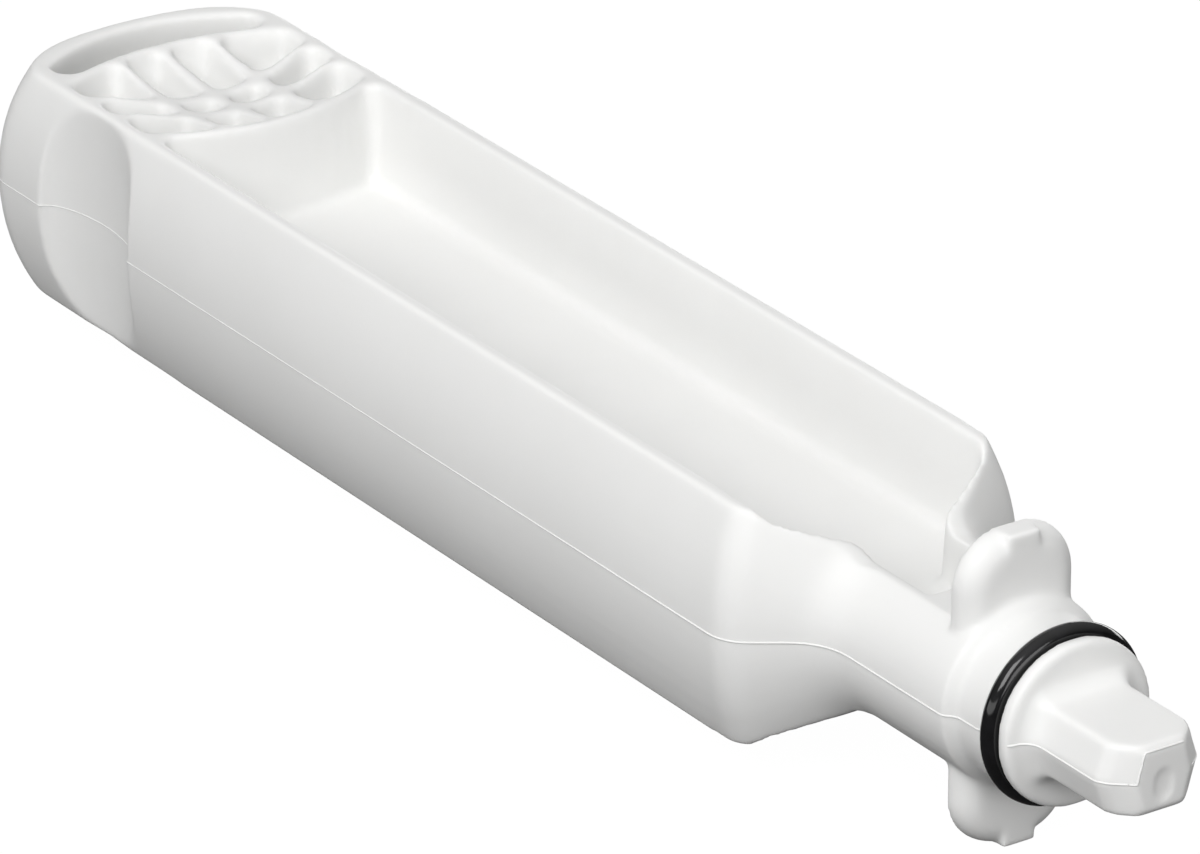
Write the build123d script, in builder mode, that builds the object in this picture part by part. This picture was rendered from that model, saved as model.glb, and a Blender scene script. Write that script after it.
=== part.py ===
from build123d import *
import math
import os

os.makedirs("parts", exist_ok=True)

# Bypass plug for a refrigerator water filter housing.
# Frame: X runs along the plug to its nose, Z is up, Y is across.
# The origin lies on the axis, at the seal land's rear edge, in the parting plane.

# Body, the long double trough
body_half_width = 24.0
rim_height = 17.1
rim_half_width = 20.0
rim_width = 2.0
web_thickness = 4.0
wall_draft = 3.0
foot_radius = 1.9
back_x = -228.0
back_radius = 12.5
turned_cover = 0.2

# Shoulder, turned about the axis
shoulder_x = -38.9
shoulder_radius = 18.9
shoulder_angle = 55.5
shoulder_crown = 5.1
shoulder_throat = 8.9
crease_radius = 6.0

# Neck and collar
neck_radius = 12.95
collar_x = -9.6
collar_step = 1.4
land_radius = 11.53

# Seal groove and its ring
groove_width = 3.0
groove_radius = 9.9
ring_section = 2.62
ring_slack = 0.05

# Seal land in front of the groove
land_length = 2.3
land_edge = 0.7

# Trough plan
trough_end_x = -184.6
trough_end_radius = 36.0
trough_corner = 2.0
trough_bend_x = -39.2
trough_bend_y = 12.0
trough_bend_angle = 62.0
trough_bend_outer = 5.0
trough_bend_inner = 3.0
channel_half_width = 6.7
channel_flat = 10.4
channel_flat_x = -33.7
lip_angle = 33.0
channel_end_x = -21.3

# Bayonet ears
ear_face_x = -9.8
ear_thickness = 3.9
ear_half_width = 9.0
ear_height = 22.15
ear_corner = 7.5
ear_edge = 3.3
lug_half_width = 2.5

# Nose
nose_half_width = 8.0
nose_flat_half_width = 6.2
nose_half_height = 5.0
nose_shoulder_x = 16.0
nose_x = 20.0
nose_edge = 0.9
tip_half_width = 4.2
tip_flat_half_width = 3.1
tip_edge = 0.8
tip_bulge = 0.45
nose_root = 2.5
gate_half_width = 1.6
gate_half_height = 2.3
gate_drop = 1.0
gate_depth = 0.3

# Finger scoops
scoop_x = -199.7
scoop_half_length = 11.5
scoop_depth = 4.0

# Handle lattice
slot_back_x = -225.0
slot_back_radius = 29.0
slot_front_x = -217.9
slot_front_radius = 42.0
slot_half_width = 17.0
slot_corner = 2.2
slot_draft = 4.0
pocket_floor = 11.0
pocket_draft = 15.0
pocket_corner = 2.0
pocket_half_width = 18.2
rib_width = 0.9
rib_pitch = 7.6
slot_floor = 5.0
slot_wall = 1.5
first_rib_x = -202.3
first_rib_radius = 43.0
second_rib_x = -196.0
second_rib_radius = 60.0
front_wall = 1.6
dish_x = -201.0
dish_depth = 2.4
dish_radius = 55.0

# Places that follow from the sizes above
trough_floor = web_thickness / 2
trough_depth = rim_height - trough_floor
trough_half_width = rim_half_width - rim_width
turned_radius = math.hypot(rim_half_width, rim_height) + turned_cover
slope = math.tan(math.radians(shoulder_angle))
crown_x = shoulder_x - (turned_radius - shoulder_radius) / slope
throat_x = shoulder_x + (shoulder_radius - neck_radius) / slope
bend = math.tan(math.radians(trough_bend_angle))
bend_outer_x = trough_bend_x - (trough_half_width - trough_bend_y) / bend
bend_inner_x = trough_bend_x + (trough_bend_y - channel_half_width) / bend
end_drop = trough_end_radius - math.sqrt(trough_end_radius**2 - trough_half_width**2)
lip_run = (rim_height - channel_flat) / math.tan(math.radians(lip_angle))
ear_back_x = ear_face_x - ear_thickness
tip_x = nose_x - tip_edge
tip_root_half = tip_half_width + tip_edge
tip_root_flat = tip_flat_half_width + tip_edge
belly_x = (nose_shoulder_x + tip_x) / 2
belly_half = (nose_half_width + tip_root_half) / 2 + tip_bulge
belly_flat = (nose_flat_half_width + tip_root_flat) / 2 + tip_bulge
ring_radius = groove_radius + ring_slack + ring_section / 2
ring_x = -groove_width / 2
top_plane = Plane(origin=(0, 0, rim_height), x_dir=(1, 0, 0), z_dir=(0, 0, -1))

with BuildPart() as plug_body:
    # Barrel section run from end to end
    with BuildSketch(Plane.YZ.offset(back_x)) as barrel:
        with BuildLine():
            ThreePointArc(
                (rim_half_width, -rim_height),
                (body_half_width, 0),
                (rim_half_width, rim_height),
            )
            Line((rim_half_width, rim_height), (-rim_half_width, rim_height))
            ThreePointArc(
                (-rim_half_width, rim_height),
                (-body_half_width, 0),
                (-rim_half_width, -rim_height),
            )
            Line((-rim_half_width, -rim_height), (rim_half_width, -rim_height))
        make_face()
    extrude(amount=land_length - back_x)
    # Turned outline: rounded back, shoulder, neck, collar, groove and land
    with BuildSketch(Plane.XZ) as turned:
        with BuildLine():
            Polyline(
                (back_x, 0),
                (back_x, turned_radius),
                (crown_x, turned_radius),
                (throat_x, neck_radius),
                (collar_x, neck_radius),
                (collar_x + collar_step, land_radius),
                (-groove_width, land_radius),
                (-groove_width, groove_radius),
                (0, groove_radius),
                (0, land_radius),
                (land_length, land_radius),
                (land_length, 0),
                close=True,
            )
        make_face()
        fillet(turned.vertices().sort_by_distance((back_x, turned_radius))[0], back_radius)
        fillet(turned.vertices().sort_by_distance((crown_x, turned_radius))[0], shoulder_crown)
        fillet(turned.vertices().sort_by_distance((throat_x, neck_radius))[0], shoulder_throat)
        fillet(turned.vertices().sort_by_distance((land_length, land_radius))[0], land_edge)
    revolve(axis=Axis.X, mode=Mode.INTERSECT)
    # Six sided nose with a tapered tip
    nose_sections = (
        (0, nose_half_width, nose_flat_half_width, nose_half_height),
        (nose_shoulder_x, nose_half_width, nose_flat_half_width, nose_half_height),
        (belly_x, belly_half, belly_flat, nose_half_height),
        (tip_x, tip_root_half, tip_root_flat, nose_half_height),
        (nose_x, tip_half_width, tip_flat_half_width, nose_half_height - tip_edge),
    )
    for place, half, flat, height in nose_sections:
        with BuildSketch(Plane.YZ.offset(place)) as section:
            Polygon(
                (half, 0),
                (flat, height),
                (-flat, height),
                (-half, 0),
                (-flat, -height),
                (flat, -height),
                align=None,
            )
            fillet(section.vertices(), nose_edge)
    loft(ruled=True)
    # Hollow root and the sunk gate mark
    root = plug_body.edges().filter_by(
        lambda e: abs(e.center().X - land_length) < 0.01 and e.length < 3 * nose_half_width
    )
    fillet(root, nose_root)
    with BuildSketch(Plane.YZ.offset(nose_x)):
        with Locations((0, -gate_drop)):
            Ellipse(gate_half_width, gate_half_height)
    extrude(amount=-gate_depth, mode=Mode.SUBTRACT)
    # Soft crease where the barrel sides meet the turned back and shoulder
    creases = plug_body.edges().filter_by(
        lambda e: e.geom_type == GeomType.BSPLINE and abs(e.center().Y) > rim_half_width
    )
    fillet(creases, crease_radius)
    # Upper and lower trough, running on into the neck as a channel
    with BuildSketch(top_plane) as trough:
        with BuildLine():
            ThreePointArc(
                (trough_end_x - end_drop, -trough_half_width),
                (trough_end_x, 0),
                (trough_end_x - end_drop, trough_half_width),
            )
            Polyline(
                (trough_end_x - end_drop, trough_half_width),
                (bend_outer_x, trough_half_width),
                (bend_inner_x, channel_half_width),
                (channel_end_x, channel_half_width),
                (channel_end_x, -channel_half_width),
                (bend_inner_x, -channel_half_width),
                (bend_outer_x, -trough_half_width),
                (trough_end_x - end_drop, -trough_half_width),
            )
        make_face()
        ends = trough.vertices().filter_by(lambda v: v.X < trough_end_x)
        fillet(ends, trough_corner)
        outer = trough.vertices().filter_by(lambda v: abs(v.X - bend_outer_x) < 0.1)
        fillet(outer, trough_bend_outer)
        inner = trough.vertices().filter_by(lambda v: abs(v.X - bend_inner_x) < 0.1)
        fillet(inner, trough_bend_inner)
    trough_cut = extrude(amount=trough_depth, taper=wall_draft, mode=Mode.SUBTRACT)
    mirror(trough_cut, about=Plane.XY, mode=Mode.SUBTRACT)
    # Rounded foot of the trough walls
    floors = plug_body.faces().filter_by(
        lambda f: f.geom_type == GeomType.PLANE and abs(abs(f.center().Z) - trough_floor) < 0.01
    )
    feet = floors.edges().filter_by(lambda e: e.center().X < channel_end_x - 1)
    fillet(feet, foot_radius)
    # Flat lips beside the channel, rising from the neck to the rims
    with BuildSketch(Plane.XZ) as flats:
        with BuildLine():
            Polyline(
                (ear_back_x, channel_flat),
                (channel_flat_x, channel_flat),
                (channel_flat_x - lip_run, rim_height),
                (ear_back_x, rim_height),
                close=True,
            )
        make_face()
    flat_cut = extrude(amount=rim_half_width, both=True, mode=Mode.SUBTRACT)
    mirror(flat_cut, about=Plane.XY, mode=Mode.SUBTRACT)
    # Finger scoops in both sides
    with BuildSketch(Plane.XY):
        with Locations((scoop_x, body_half_width), (scoop_x, -body_half_width)):
            Ellipse(scoop_half_length, scoop_depth)
    extrude(amount=rim_height + 1, both=True, mode=Mode.SUBTRACT)
    # Shallow dish over the handle's ribs
    for side in (1, -1):
        with Locations((dish_x, 0, side * (rim_height - dish_depth + dish_radius))):
            Sphere(dish_radius, mode=Mode.SUBTRACT)
    # Crescent slot inside the back wall
    with BuildSketch(top_plane) as slot:
        with Locations((slot_back_x + slot_back_radius, 0)):
            Circle(slot_back_radius)
        with Locations((slot_front_x + slot_front_radius, 0)):
            Circle(slot_front_radius, mode=Mode.SUBTRACT)
        with Locations((slot_back_x, 0)):
            Rectangle(2 * slot_back_radius, 2 * slot_half_width, mode=Mode.INTERSECT)
        fillet(slot.vertices(), slot_corner)
    slot_cut = extrude(amount=rim_height - slot_floor, taper=slot_draft, mode=Mode.SUBTRACT)
    mirror(slot_cut, about=Plane.XY, mode=Mode.SUBTRACT)
    # Pockets between the crossing ribs
    with BuildSketch(top_plane) as pockets:
        with Locations((slot_front_x + slot_front_radius, 0)):
            Circle(slot_front_radius - slot_wall)
        with Locations((trough_end_x - trough_end_radius, 0)):
            Circle(trough_end_radius - front_wall, mode=Mode.INTERSECT)
        with Locations((trough_end_x - trough_end_radius, 0)):
            Rectangle(4 * trough_end_radius, 2 * pocket_half_width, mode=Mode.INTERSECT)
        with Locations((dish_x, -rib_pitch), (dish_x, 0), (dish_x, rib_pitch)):
            Rectangle(2 * trough_end_radius, rib_width, mode=Mode.SUBTRACT)
        with BuildSketch(mode=Mode.SUBTRACT):
            with Locations((first_rib_x - first_rib_radius, 0)):
                Circle(first_rib_radius + rib_width / 2)
                Circle(first_rib_radius - rib_width / 2, mode=Mode.SUBTRACT)
        with BuildSketch(mode=Mode.SUBTRACT):
            with Locations((second_rib_x - second_rib_radius, 0)):
                Circle(second_rib_radius + rib_width / 2)
                Circle(second_rib_radius - rib_width / 2, mode=Mode.SUBTRACT)
        fillet(pockets.vertices(), pocket_corner)
    pocket_cut = extrude(amount=rim_height - pocket_floor, taper=pocket_draft, mode=Mode.SUBTRACT)
    mirror(pocket_cut, about=Plane.XY, mode=Mode.SUBTRACT)
    # Bayonet ears above and below the neck, one plate through it
    with BuildSketch(Plane.YZ.offset(ear_back_x)) as ears:
        RectangleRounded(2 * ear_half_width, 2 * ear_height, ear_corner)
    extrude(amount=ear_thickness)
    wings = plug_body.edges().filter_by(
        lambda e: abs(e.center().X - ear_face_x) < 0.01 and abs(e.center().Z) > neck_radius
    )
    fillet(wings, ear_edge)
    # Lug standing out of the middle of each ear
    with BuildSketch(Plane.YZ.offset(ear_back_x)):
        Rectangle(2 * lug_half_width, 2 * ear_height)
    extrude(amount=ear_thickness)

plug_body.part.label = "plug_body"
export_step(plug_body.part, "parts/plug_body.step")

with BuildPart() as o_ring:
    # Rubber ring lying in the groove
    with BuildSketch(Plane.XZ):
        with Locations((ring_x, ring_radius)):
            Circle(ring_section / 2)
    revolve(axis=Axis.X)

o_ring.part.label = "o_ring"
export_step(o_ring.part, "parts/o_ring.step")
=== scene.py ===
# %% [markdown]
# # A bypass plug for a refrigerator's water filter port
# The plug is one white plastic moulding with a black rubber ring on its nose end. The solid model
# of it is already built and packed, so this lesson loads that model, gives the moulding its soft
# edges, seam and skin, and then lights it the way a catalogue picture is lit.

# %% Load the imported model
import math
import bmesh
import bpy
from mathutils import Matrix, Vector


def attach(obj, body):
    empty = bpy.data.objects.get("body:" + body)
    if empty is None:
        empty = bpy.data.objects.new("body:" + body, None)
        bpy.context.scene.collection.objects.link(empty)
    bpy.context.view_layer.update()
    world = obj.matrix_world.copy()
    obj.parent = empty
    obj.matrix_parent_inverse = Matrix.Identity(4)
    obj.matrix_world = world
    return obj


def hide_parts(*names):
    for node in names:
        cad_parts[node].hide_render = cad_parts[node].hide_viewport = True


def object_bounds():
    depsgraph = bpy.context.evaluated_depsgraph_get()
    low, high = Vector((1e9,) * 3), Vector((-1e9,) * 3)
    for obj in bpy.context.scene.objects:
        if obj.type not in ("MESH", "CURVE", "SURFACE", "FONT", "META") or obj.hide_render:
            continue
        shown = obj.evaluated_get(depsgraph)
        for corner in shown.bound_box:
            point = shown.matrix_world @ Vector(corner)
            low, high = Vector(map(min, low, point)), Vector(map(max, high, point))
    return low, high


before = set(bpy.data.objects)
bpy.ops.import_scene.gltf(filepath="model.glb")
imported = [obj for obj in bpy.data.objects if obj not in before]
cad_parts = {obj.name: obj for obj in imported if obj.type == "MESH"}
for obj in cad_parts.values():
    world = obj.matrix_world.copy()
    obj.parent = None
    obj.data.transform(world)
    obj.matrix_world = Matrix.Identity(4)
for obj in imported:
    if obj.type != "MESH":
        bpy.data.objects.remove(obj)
cad_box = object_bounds()
MM = 0.001
scene = bpy.context.scene
scene.view_settings.view_transform = "Standard"
print("nodes:", sorted(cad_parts))

# %% [markdown]
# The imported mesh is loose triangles. A copy is merged into one closed skin before anything else is
# done to it, because smooth shading and remeshing both need to know which faces are neighbours.
# Edges that turn by more than a given angle stay crisp, and all others are shaded as one curve.

# %% Helpers for meshes
MERGE_DISTANCE = 0.002 * MM
SHARP_ANGLE = math.radians(60)


def merged_copy(node, name):
    """A new object with the node's faces merged into one skin, smooth except at sharp edges."""
    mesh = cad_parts[node].data.copy()
    mesh.name = name
    mesh.materials.clear()
    skin = bmesh.new()
    skin.from_mesh(mesh)
    bmesh.ops.remove_doubles(skin, verts=skin.verts, dist=MERGE_DISTANCE)
    for face in skin.faces:
        face.smooth = True
    for edge in skin.edges:
        edge.smooth = edge.calc_face_angle(0.0) < SHARP_ANGLE
    skin.to_mesh(mesh)
    skin.free()
    for layer in list(mesh.attributes):
        if layer.name == "custom_normal":
            mesh.attributes.remove(layer)
    piece = bpy.data.objects.new(name, mesh)
    scene.collection.objects.link(piece)
    print(name, len(mesh.vertices), "points", len(mesh.polygons), "faces")
    return piece


def settle(piece):
    """Turns a piece's modifiers into a plain mesh."""
    graph = bpy.context.evaluated_depsgraph_get()
    mesh = bpy.data.meshes.new_from_object(piece.evaluated_get(graph), depsgraph=graph)
    mesh.name = piece.name
    piece.modifiers.clear()
    piece.data = mesh
    return piece


# %% [markdown]
# Two small helpers keep the node trees below short: one adds a maths node, and one stretches a value
# from one range to another. Two more start a Geometry Nodes tree and read each point's place in it.

# %% Helpers for node trees
def maths(tree, operation, *values):
    """A maths node fed by sockets or plain numbers."""
    node = tree.nodes.new("ShaderNodeMath")
    node.operation = operation
    for socket, value in zip(node.inputs, values):
        if isinstance(value, (int, float)):
            socket.default_value = value
        else:
            tree.links.new(value, socket)
    return node.outputs[0]


def stretch(tree, value, low, high, to_low, to_high):
    """Maps a value from one range to another and holds it at the ends."""
    node = tree.nodes.new("ShaderNodeMapRange")
    ends = {"From Min": low, "From Max": high, "To Min": to_low, "To Max": to_high}
    for name, number in ends.items():
        node.inputs[name].default_value = number
    tree.links.new(value, node.inputs["Value"])
    return node.outputs["Result"]


def geometry_tree(name):
    """An empty Geometry Nodes tree, with the socket its geometry comes from and the one it goes to."""
    tree = bpy.data.node_groups.new(name, "GeometryNodeTree")
    tree.interface.new_socket("Geometry", in_out="INPUT", socket_type="NodeSocketGeometry")
    tree.interface.new_socket("Geometry", in_out="OUTPUT", socket_type="NodeSocketGeometry")
    start = tree.nodes.new("NodeGroupInput").outputs["Geometry"]
    end = tree.nodes.new("NodeGroupOutput").inputs["Geometry"]
    return tree, start, end


def point_place(tree):
    """Each point's position, whole and split into X, Y and Z."""
    place = tree.nodes.new("GeometryNodeInputPosition").outputs["Position"]
    split = tree.nodes.new("ShaderNodeSeparateXYZ")
    tree.links.new(place, split.inputs[0])
    return place, split.outputs


# %% [markdown]
# The moulding is a satin white plastic. Up close such plastic isn't one flat colour: it has a very
# faint cloudiness from the melt, a fine eggshell texture from the mould's surface, and a gloss that
# changes slightly from place to place. Three noise textures on Object coordinates give those, so
# that the pattern stays put when the plug is turned.

# %% The white plastic
PLASTIC_LIGHT = (0.87, 0.87, 0.86, 1)
PLASTIC_DARK = (0.85, 0.85, 0.84, 1)
PLASTIC_GLOSS = (0.45, 0.55)
PLASTIC_VALUES = {
    "IOR": 1.49,
    "Specular IOR Level": 0.35,
    "Subsurface Weight": 0.08,
    "Subsurface Radius": (1.0, 0.95, 0.9),
    "Subsurface Scale": 0.8 * MM,
}
CLOUD_SCALE = 35
GLOSS_SCALE = 90
EGGSHELL_SCALE = 1800
EGGSHELL_STRENGTH = 0.35
BUMP_DISTANCE = 0.01 * MM
RAMP_STOPS = (0.35, 0.65)
COARSE_DETAIL = 3
FINE_DETAIL = 2


def surface(name, values):
    """A new material with some constants set, its tree, its shader and its Object coordinates."""
    material = bpy.data.materials.new(name)
    material.use_nodes = True
    tree = material.node_tree
    shader = tree.nodes["Principled BSDF"]
    for socket, value in values.items():
        shader.inputs[socket].default_value = value
    coords = tree.nodes.new("ShaderNodeTexCoord").outputs["Object"]
    return material, tree, shader, coords


def noise(tree, scale, detail, coords):
    """A noise texture on the given coordinates."""
    node = tree.nodes.new("ShaderNodeTexNoise")
    node.inputs["Scale"].default_value = scale
    node.inputs["Detail"].default_value = detail
    tree.links.new(coords, node.inputs["Vector"])
    return node.outputs["Fac"]


def ramp(tree, factor, low, high):
    """A colour ramp between two colours."""
    node = tree.nodes.new("ShaderNodeValToRGB")
    for stop, position, colour in zip(node.color_ramp.elements, RAMP_STOPS, (low, high)):
        stop.position = position
        stop.color = colour
    tree.links.new(factor, node.inputs["Fac"])
    return node.outputs["Color"]


def bump(tree, height, strength):
    """A bump from a height."""
    node = tree.nodes.new("ShaderNodeBump")
    node.inputs["Distance"].default_value = BUMP_DISTANCE
    node.inputs["Strength"].default_value = strength
    tree.links.new(height, node.inputs["Height"])
    return node.outputs["Normal"]


def white_plastic():
    """Satin white moulded plastic."""
    material, tree, shader, coords = surface("white_plastic", PLASTIC_VALUES)
    cloud = noise(tree, CLOUD_SCALE, COARSE_DETAIL, coords)
    tree.links.new(ramp(tree, cloud, PLASTIC_DARK, PLASTIC_LIGHT), shader.inputs["Base Color"])
    gloss = noise(tree, GLOSS_SCALE, FINE_DETAIL, coords)
    tree.links.new(stretch(tree, gloss, 0, 1, *PLASTIC_GLOSS), shader.inputs["Roughness"])
    eggshell = noise(tree, EGGSHELL_SCALE, FINE_DETAIL, coords)
    tree.links.new(bump(tree, eggshell, EGGSHELL_STRENGTH), shader.inputs["Normal"])
    return material


plastic = white_plastic()
print("material:", plastic.name)

# %% [markdown]
# No edge of a moulding is razor sharp: the mould's own corners have a small radius, and that radius
# is what catches the light along the rims and the grip's ribs. The solid's skin is first remeshed
# into an even net of small squares. Geometry Nodes then blur the net's points, so that each point
# moves a little towards its neighbours. Broad faces stay where they are and edges become round.
#
# The blur has a weight. It is full on the grip's ribs, which a hand pulls on, on the shoulder's
# slanted lips and on the seal land, whose lip is round. It is weak on the rims, the ears and the
# nose, which are crisper.
#
# An even net has far more faces than the broad flats need. So the last modifier merges faces where
# the skin is nearly flat, and leaves them on the edges and ribs, until about a quarter is left.

# %% The moulded body
NET_SIZE = 0.4 * MM
BLUR_ROUNDS = 7
BLUR_SOFT = 1.0
BLUR_CRISP = 0.1
KEPT_FACES = 0.26
RIB_LOW = 11.5 * MM
RIB_HIGH = 13.0 * MM
GRIP_FRONT = -180.0 * MM
GRIP_BACK = -188.0 * MM
LIP_MIDDLE = -33.0 * MM
LIP_REACH = 17.0 * MM
LAND_MIDDLE = -2.4 * MM
LAND_REACH = 3.6 * MM


def soft_edges_tree():
    """Geometry Nodes that round a net's edges, more on the grip, lips and land than elsewhere."""
    tree, start, end = geometry_tree("soft_edges")
    place, along = point_place(tree)
    high = stretch(tree, maths(tree, "ABSOLUTE", along["Z"]), RIB_LOW, RIB_HIGH, 0, 1)
    grip = stretch(tree, along["X"], GRIP_BACK, GRIP_FRONT, 1, 0)
    shoulder = maths(tree, "COMPARE", along["X"], LIP_MIDDLE, LIP_REACH)
    land = maths(tree, "COMPARE", along["X"], LAND_MIDDLE, LAND_REACH)
    ribs = maths(tree, "MULTIPLY", high, grip)
    lips = maths(tree, "MULTIPLY", high, shoulder)
    soft = maths(tree, "MAXIMUM", maths(tree, "MAXIMUM", ribs, lips), land)
    blur = tree.nodes.new("GeometryNodeBlurAttribute")
    blur.data_type = "FLOAT_VECTOR"
    blur.inputs["Iterations"].default_value = BLUR_ROUNDS
    tree.links.new(place, blur.inputs["Value"])
    tree.links.new(stretch(tree, soft, 0, 1, BLUR_CRISP, BLUR_SOFT), blur.inputs["Weight"])
    move = tree.nodes.new("GeometryNodeSetPosition")
    tree.links.new(start, move.inputs["Geometry"])
    tree.links.new(blur.outputs["Value"], move.inputs["Position"])
    tree.links.new(move.outputs["Geometry"], end)
    return tree


body = merged_copy("plug_body", "moulded_body")
body.data.materials.append(plastic)
net = body.modifiers.new("even net", "REMESH")
net.mode = "VOXEL"
net.voxel_size = NET_SIZE
net.use_smooth_shade = True
soften = body.modifiers.new("soft edges", "NODES")
soften.node_group = soft_edges_tree()
thin = body.modifiers.new("fewer faces", "DECIMATE")
thin.ratio = KEPT_FACES
settle(body)
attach(body, "root")
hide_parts("plug_body")
print("body faces", len(body.data.polygons))

# %% [markdown]
# The mould closes in the middle of the plug, and the plastic creeps a hair's width into the joint.
# That leaves a fine raised seam all the way round. It follows the surface, so it is found rather
# than drawn: the skin is cut by the closing plane. The ring's groove and the land in front of it have
# no seam, since they are dressed for the seal. At the tip the joint leaves the closing plane and runs
# up one edge of the flat end and along its top, so those three straight stretches are added.

# %% Where the mould closes
SEAM_TIP = 19.3 * MM
DRESSED_MIDDLE = -0.8 * MM
DRESSED_REACH = 2.6 * MM
CUT_DISTANCE = 0.0001 * MM
JOIN_DISTANCE = 0.01 * MM
TIP_ROUTE = [(19.3, -4.9, 0), (20.0, -4.2, 0), (20.0, -3.1, 4.2), (20.0, 3.1, 4.2)]


def has_no_seam(point):
    """Whether a point of the closing line is on the tip or in the zone dressed for the seal."""
    return point.x > SEAM_TIP or abs(point.x - DRESSED_MIDDLE) < DRESSED_REACH


def closing_line(piece, name):
    """The edges in which the plane Z = 0 cuts a piece, with the tip's route, as a mesh of edges."""
    cut = bmesh.new()
    cut.from_mesh(piece.data)
    everything = cut.verts[:] + cut.edges[:] + cut.faces[:]
    bmesh.ops.bisect_plane(
        cut, geom=everything, dist=CUT_DISTANCE, plane_co=(0, 0, 0), plane_no=(0, 0, 1),
        clear_inner=True, clear_outer=True,
    )
    bare = [corner for corner in cut.verts if has_no_seam(corner.co)]
    bmesh.ops.delete(cut, geom=bare, context="VERTS")
    bmesh.ops.remove_doubles(cut, verts=cut.verts, dist=JOIN_DISTANCE)
    route = [cut.verts.new(Vector(point) * MM) for point in TIP_ROUTE]
    for one, two in zip(route, route[1:]):
        cut.edges.new((one, two))
    mesh = bpy.data.meshes.new(name)
    cut.to_mesh(mesh)
    cut.free()
    line = bpy.data.objects.new(name, mesh)
    scene.collection.objects.link(line)
    return line


seam = closing_line(body, "mould_seam")
print("seam edges", len(seam.data.edges))

# %% [markdown]
# Geometry Nodes sweep a small round bead along those edges. The points of the line are first moved to
# the nearest place on the skin, which only matters for the straight stretches at the tip. The mould
# closes tighter towards the grip, so the bead is thinner there.

# %% A bead along the line
SEAM_RADIUS = 0.15 * MM
SEAM_SIDES = 8
SEAM_STEP = 0.5 * MM
SEAM_THIN = 0.55
THIN_FROM = -130.0 * MM
THIN_TO = -50.0 * MM


def bead_tree(material, skin):
    """Geometry Nodes that lay a round bead along a mesh of edges, on a skin."""
    tree, start, end = geometry_tree("seam_bead")
    nodes = tree.nodes
    links = tree.links
    to_curve = nodes.new("GeometryNodeMeshToCurve")
    resample = nodes.new("GeometryNodeResampleCurve")
    resample.mode = "LENGTH"
    resample.inputs["Length"].default_value = SEAM_STEP
    under = nodes.new("GeometryNodeObjectInfo")
    under.inputs["Object"].default_value = skin
    nearest = nodes.new("GeometryNodeProximity")
    nearest.target_element = "FACES"
    seat = nodes.new("GeometryNodeSetPosition")
    circle = nodes.new("GeometryNodeCurvePrimitiveCircle")
    circle.inputs["Resolution"].default_value = SEAM_SIDES
    circle.inputs["Radius"].default_value = SEAM_RADIUS
    sweep = nodes.new("GeometryNodeCurveToMesh")
    sweep.inputs["Fill Caps"].default_value = True
    shade = nodes.new("GeometryNodeSetShadeSmooth")
    paint = nodes.new("GeometryNodeSetMaterial")
    paint.inputs["Material"].default_value = material
    _, along = point_place(tree)
    width = stretch(tree, along["X"], THIN_FROM, THIN_TO, SEAM_THIN, 1)
    links.new(start, to_curve.inputs["Mesh"])
    links.new(to_curve.outputs["Curve"], resample.inputs["Curve"])
    links.new(resample.outputs["Curve"], seat.inputs["Geometry"])
    links.new(under.outputs["Geometry"], nearest.inputs["Geometry"])
    links.new(nearest.outputs["Position"], seat.inputs["Position"])
    links.new(seat.outputs["Geometry"], sweep.inputs["Curve"])
    links.new(circle.outputs["Curve"], sweep.inputs["Profile Curve"])
    links.new(width, sweep.inputs["Scale"])
    links.new(sweep.outputs["Mesh"], shade.inputs["Geometry"])
    links.new(shade.outputs["Geometry"], paint.inputs["Geometry"])
    links.new(paint.outputs["Geometry"], end)
    return tree


bead = seam.modifiers.new("bead", "NODES")
bead.node_group = bead_tree(plastic, body)
settle(seam)
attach(seam, "root")
print("seam faces", len(seam.data.polygons))

# %% [markdown]
# The ring is black rubber with a thin film of grease, so it is nearly black with a clear, narrow
# highlight. Its moulded skin is a little uneven, which fine noise gives to the gloss and bump.

# %% The black ring
RUBBER_LIGHT = (0.009, 0.009, 0.010, 1)
RUBBER_DARK = (0.004, 0.004, 0.004, 1)
RUBBER_GLOSS = (0.08, 0.15)
RUBBER_VALUES = {"IOR": 1.52, "Specular IOR Level": 0.5}
FILM_SCALE = 400
GRAIN_SCALE = 2500
GRAIN_STRENGTH = 0.3


def black_rubber():
    """Greased black rubber."""
    material, tree, shader, coords = surface("black_rubber", RUBBER_VALUES)
    film = noise(tree, FILM_SCALE, COARSE_DETAIL, coords)
    tree.links.new(ramp(tree, film, RUBBER_DARK, RUBBER_LIGHT), shader.inputs["Base Color"])
    tree.links.new(stretch(tree, film, 0, 1, *RUBBER_GLOSS), shader.inputs["Roughness"])
    grain = noise(tree, GRAIN_SCALE, FINE_DETAIL, coords)
    tree.links.new(bump(tree, grain, GRAIN_STRENGTH), shader.inputs["Normal"])
    return material


rubber = black_rubber()
ring = merged_copy("o_ring", "seal_ring")
ring.data.materials.append(rubber)
finer = ring.modifiers.new("finer", "SUBSURF")
finer.levels = 1
finer.render_levels = 1
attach(ring, "root")
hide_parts("o_ring")
print("material:", rubber.name)

# %% [markdown]
# A catalogue picture stands the plug on white with hardly a shadow. The floor is white to the camera,
# through Light Path, and keeps a small share of real shading for the shadow. To all other rays it is
# dark grey, so that it sends little light up under the plug.

# %% Floor
FLOOR_SIZE = 6.0
FLOOR_SHADE = 0.03
FLOOR_GLOW = 1.02
FLOOR_WHITE = (0.95, 0.95, 0.95, 1)
FLOOR_BOUNCE = (0.08, 0.08, 0.08, 1)


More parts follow.
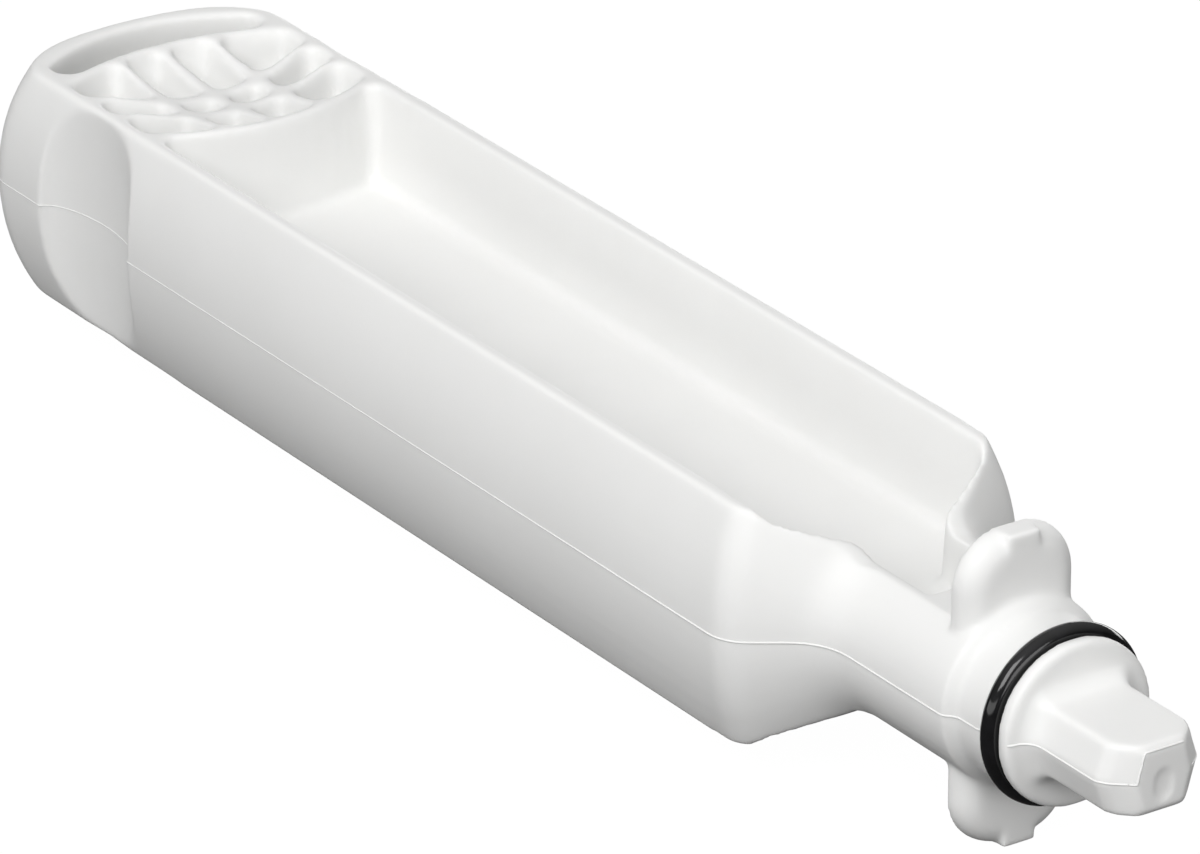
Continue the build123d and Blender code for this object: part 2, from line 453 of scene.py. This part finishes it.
def stage_white():
    """White to the camera with a share of real shading, and a grey that sends little light back up."""
    material = bpy.data.materials.new("stage_white")
    material.use_nodes = True
    tree = material.node_tree
    tree.nodes.clear()
    output = tree.nodes.new("ShaderNodeOutputMaterial")
    to_camera = tree.nodes.new("ShaderNodeLightPath").outputs["Is Camera Ray"]
    grey = tree.nodes.new("ShaderNodeMix")
    grey.data_type = "RGBA"
    grey.inputs["A"].default_value = FLOOR_BOUNCE
    grey.inputs["B"].default_value = FLOOR_WHITE
    tree.links.new(to_camera, grey.inputs["Factor"])
    diffuse = tree.nodes.new("ShaderNodeBsdfDiffuse")
    tree.links.new(grey.outputs["Result"], diffuse.inputs["Color"])
    glow = tree.nodes.new("ShaderNodeEmission")
    glow.inputs["Strength"].default_value = FLOOR_GLOW
    mix = tree.nodes.new("ShaderNodeMixShader")
    tree.links.new(maths(tree, "MULTIPLY", to_camera, 1 - FLOOR_SHADE), mix.inputs["Fac"])
    tree.links.new(diffuse.outputs[0], mix.inputs[1])
    tree.links.new(glow.outputs[0], mix.inputs[2])
    tree.links.new(mix.outputs[0], output.inputs["Surface"])
    return material


floor_height = cad_box[0][2]
half = FLOOR_SIZE / 2
corners = [(-half, -half), (half, -half), (half, half), (-half, half)]
floor_mesh = bpy.data.meshes.new("floor")
floor_mesh.from_pydata([(x, y, floor_height) for x, y in corners], [], [(0, 1, 2, 3)])
floor_mesh.materials.append(stage_white())
floor = bpy.data.objects.new("floor", floor_mesh)
scene.collection.objects.link(floor)
print("floor at", round(floor_height / MM, 2), "mm")

# %% [markdown]
# The main light is a large panel high on the camera's side. It reaches over the near rim into the
# trough and lights the near side as well. A sky that fades towards the horizon fills in from above.
# Two weak panels, a long low strip along the near side and one in front of the nose, lift the dark
# places. A third is for whoever walks round the plug: it lights the far side and the back end, which
# the camera doesn't see. The sky is white to the camera and grey light to everything else.

# %% Light
WHITE = (1, 1, 1, 1)
SKY_ZENITH = 0.70
SKY_HORIZON = 0.02
AIM_POINT = Vector((-0.1, 0, 0))


def sky():
    """White to the camera, and to everything else a light that grows from the horizon to the zenith."""
    world = bpy.data.worlds.new("sky")
    scene.world = world
    world.use_nodes = True
    tree = world.node_tree
    tree.nodes.clear()
    output = tree.nodes.new("ShaderNodeOutputWorld")
    paths = tree.nodes.new("ShaderNodeLightPath")
    heading = tree.nodes.new("ShaderNodeSeparateXYZ")
    tree.links.new(tree.nodes.new("ShaderNodeTexCoord").outputs["Generated"], heading.inputs[0])
    light = tree.nodes.new("ShaderNodeBackground")
    light.inputs["Color"].default_value = WHITE
    strength = stretch(tree, heading.outputs["Z"], 0, 1, SKY_HORIZON, SKY_ZENITH)
    tree.links.new(strength, light.inputs["Strength"])
    white = tree.nodes.new("ShaderNodeBackground")
    white.inputs["Color"].default_value = WHITE
    mix = tree.nodes.new("ShaderNodeMixShader")
    tree.links.new(paths.outputs["Is Camera Ray"], mix.inputs["Fac"])
    tree.links.new(light.outputs[0], mix.inputs[1])
    tree.links.new(white.outputs[0], mix.inputs[2])
    tree.links.new(mix.outputs[0], output.inputs["Surface"])


def panel(name, place, size, power):
    """An oblong area lamp that faces the middle of the plug, in metres and watts."""
    lamp = bpy.data.lights.new(name, "AREA")
    lamp.shape = "RECTANGLE"
    lamp.size, lamp.size_y = size
    lamp.energy = power
    holder = bpy.data.objects.new(name, lamp)
    holder.location = place
    aim = AIM_POINT - Vector(place)
    holder.rotation_euler = aim.to_track_quat("-Z", "Y").to_euler()
    scene.collection.objects.link(holder)
    print(name, power, "W")


sky()
panel("key_panel", place=(0.42, -0.98, 1.0), size=(0.9, 0.9), power=13.6)
panel("low_panel", place=(0.0, -1.0, 0.11), size=(2.0, 0.22), power=2.5)
panel("nose_panel", place=(1.1, 0.0, 0.25), size=(0.8, 0.5), power=3.3)
panel("back_panel", place=(-0.6, 0.95, 0.08), size=(1.4, 0.16), power=3.6)

# %% [markdown]
# The camera stands where the photographer stood: far off with a long lens, 55.8 degrees round from
# the plug's side and 25 degrees up. Its three axes are written out from those two angles.

# %% Camera
TURN = math.radians(55.78)
RISE = math.radians(25.0)
DISTANCE = 1267.1 * MM
SHIFT_RIGHT = -59.40 * MM
SHIFT_UP = 36.89 * MM
SENSOR_MM = 36
LENS_MM = 300
FARTHEST = 20

right = Vector((math.cos(TURN), math.sin(TURN), 0))
back = Vector((math.sin(TURN) * math.cos(RISE), -math.cos(TURN) * math.cos(RISE), math.sin(RISE)))
up = back.cross(right)
lens = bpy.data.cameras.new("camera")
lens.sensor_width = SENSOR_MM
lens.lens = LENS_MM
lens.clip_end = FARTHEST
camera = bpy.data.objects.new("camera", lens)
stand = right * SHIFT_RIGHT + up * SHIFT_UP + back * DISTANCE
axes = Matrix((right, up, back)).transposed().to_4x4()
camera.matrix_world = Matrix.Translation(stand) @ axes
scene.collection.objects.link(camera)
scene.camera = camera
print("camera at", [round(v, 3) for v in stand])
